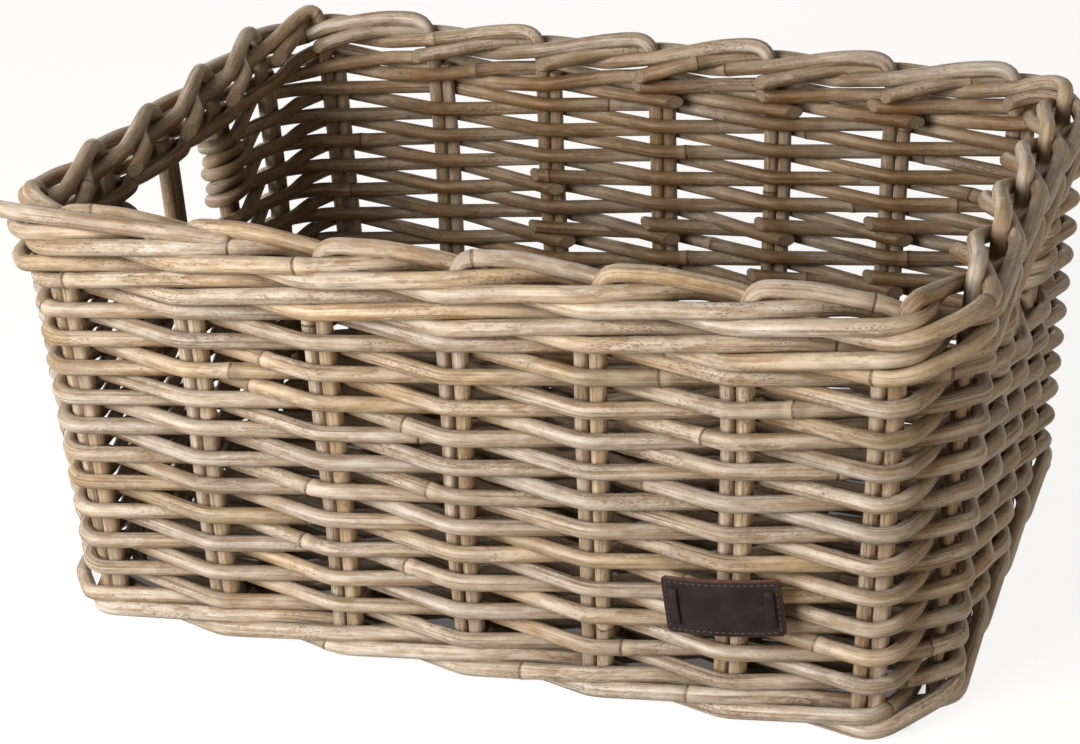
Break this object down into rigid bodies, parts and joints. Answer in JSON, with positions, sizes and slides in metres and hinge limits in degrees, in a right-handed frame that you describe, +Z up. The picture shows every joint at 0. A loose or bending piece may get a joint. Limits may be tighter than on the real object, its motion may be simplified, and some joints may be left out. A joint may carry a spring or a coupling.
{
  "type": "bicycle basket",
  "caption": "Open rectangular bicycle basket woven from rattan rods, with a rolled rod border, a hand opening in each end wall and a plain leather label on the front.",
  "frame": {"origin": "on the floor under the middle of the basket's foot", "axes": "+X along the length to the right of the label's side, -Y towards the front wall that carries the label, +Z up"},
  "size_m": [0.4898, 0.3528, 0.2223],
  "materials": {
    "rattan_stake": "weathered, matt",
    "rattan_weaver": "weathered, satin bark",
    "rattan_wale": "weathered, satin bark",
    "rattan_base": "weathered, matt",
    "leather": "dark brown, satin, stitched"
  },
  "bodies": {
    "root": {"stake_front_1": "rattan_stake", "stake_front_2": "rattan_stake", "stake_front_3": "rattan_stake", "stake_front_4": "rattan_stake", "stake_front_5": "rattan_stake", "stake_front_6": "rattan_stake", "stake_front_7": "rattan_stake", "stake_right_1": "rattan_stake", "stake_right_2": "rattan_stake", "stake_right_3": "rattan_stake", "stake_right_4": "rattan_stake", "stake_right_5": "rattan_stake", "stake_back_1": "rattan_stake", "stake_back_2": "rattan_stake", "stake_back_3": "rattan_stake", "stake_back_4": "rattan_stake", "stake_back_5": "rattan_stake", "stake_back_6": "rattan_stake", "stake_back_7": "rattan_stake", "stake_left_1": "rattan_stake", "stake_left_2": "rattan_stake", "stake_left_3": "rattan_stake", "stake_left_4": "rattan_stake", "stake_left_5": "rattan_stake", "weaver_01": "rattan_weaver", "weaver_02": "rattan_weaver", "weaver_03": "rattan_weaver", "weaver_04": "rattan_weaver", "weaver_05": "rattan_weaver", "weaver_06": "rattan_weaver", "weaver_07": "rattan_weaver", "weaver_08": "rattan_weaver", "weaver_09": "rattan_weaver", "weaver_10": "rattan_weaver", "weaver_11": "rattan_weaver", "weaver_12": "rattan_weaver", "weaver_13": "rattan_weaver", "weaver_14": "rattan_weaver", "weaver_15": "rattan_weaver", "handle_weaver_front": "rattan_weaver", "handle_weaver_back": "rattan_weaver", "foot_wale_1": "rattan_wale", "foot_wale_2": "rattan_wale", "foot_wale_3": "rattan_wale", "rim_wale_1": "rattan_wale", "rim_wale_2": "rattan_wale", "rim_wale_3": "rattan_wale", "base_stick_1": "rattan_base", "base_stick_2": "rattan_base", "base_stick_3": "rattan_base", "base_stick_4": "rattan_base", "base_stick_5": "rattan_base", "base_weaver_1": "rattan_base", "base_weaver_2": "rattan_base", "base_weaver_3": "rattan_base", "leather_label": "leather", "label_strap_left": "leather", "label_strap_right": "leather"}
  },
  "joints": []
}
